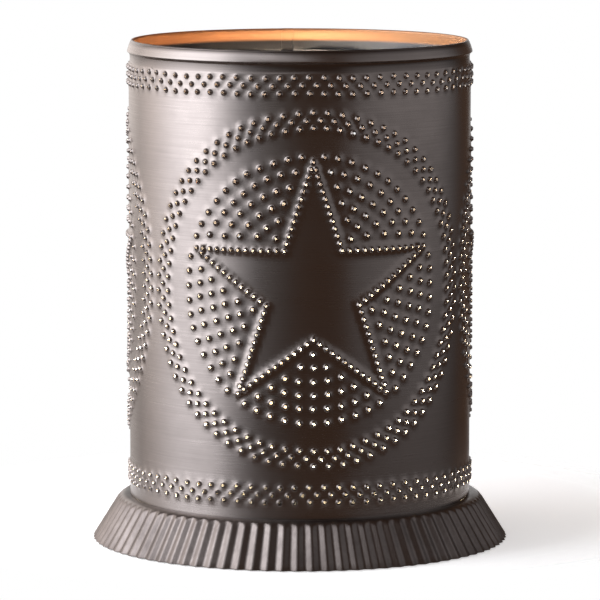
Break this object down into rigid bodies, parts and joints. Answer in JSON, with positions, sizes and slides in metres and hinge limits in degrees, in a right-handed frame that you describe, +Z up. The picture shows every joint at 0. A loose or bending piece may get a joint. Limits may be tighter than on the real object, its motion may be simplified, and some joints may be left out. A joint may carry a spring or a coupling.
{
  "type": "candle warmer",
  "caption": "Electric candle warmer: a punched-tin sleeve with star medallions, open at the top, on a fluted pan, with a hot plate for a jar and a small lamp inside.",
  "frame": {"origin": "centre of the object's footprint, on the surface that its feet stand on", "axes": "+Z up along the sleeve's axis, -Y towards the front, which the lamp stands at"},
  "size_m": [0.1686, 0.1686, 0.2029],
  "materials": {
    "blackened_tin": "satin",
    "plated_steel": "satin",
    "plate_aluminium": "satin",
    "brass": "satin",
    "rubber": "matte",
    "moulding": "satin",
    "nylon": "matte",
    "mica": "matte",
    "bulb_glass": "clear"
  },
  "bodies": {
    "base": {"bottom_cover": "blackened_tin", "centre_contact": "brass", "clamp_nut": "plated_steel", "cord_grommet": "rubber", "cover_post_1": "plated_steel", "cover_post_2": "plated_steel", "cover_post_3": "plated_steel", "cover_screw_1": "plated_steel", "cover_screw_2": "plated_steel", "cover_screw_3": "plated_steel", "fixing_nut": "plated_steel", "foot_1": "rubber", "foot_2": "rubber", "foot_3": "rubber", "foot_4": "rubber", "heater_housing": "plated_steel", "heater_lead_1": "moulding", "heater_lead_2": "moulding", "heating_element": "plated_steel", "hot_plate": "plate_aluminium", "lamp_lead_1": "moulding", "lamp_lead_2": "moulding", "lamp_socket": "moulding", "lead_bushing": "rubber", "locating_tab_1": "plated_steel", "locating_tab_2": "plated_steel", "locating_tab_3": "plated_steel", "lower_mica": "mica", "pan": "blackened_tin", "plate_stud": "plated_steel", "pressure_plate": "plated_steel", "socket_eyelet": "brass", "socket_shell": "brass", "socket_strap": "plated_steel", "splice_cap_1": "nylon", "splice_cap_2": "nylon", "strap_rivet_1": "plated_steel", "strap_rivet_2": "plated_steel", "tab_rivet_1": "plated_steel", "tab_rivet_2": "plated_steel", "tab_rivet_3": "plated_steel", "thermal_fuse": "plated_steel", "upper_mica": "mica"},
    "shade": {"shade": "blackened_tin"},
    "bulb": {"bulb_cap": "brass", "bulb_filament": "plated_steel", "bulb_glass": "bulb_glass", "bulb_insulator": "moulding", "bulb_stem": "bulb_glass", "bulb_tip": "plated_steel"}
  },
  "joints": [
    {"name": "shade_lift", "type": "slide", "parent": "base", "child": "shade", "axis": [0, 0, 1], "range_m": [0, 0.075]},
    {"name": "bulb_out", "type": "slide", "parent": "base", "child": "bulb", "axis": [0, 0, 1], "range_m": [0, 0.035]}
  ]
}
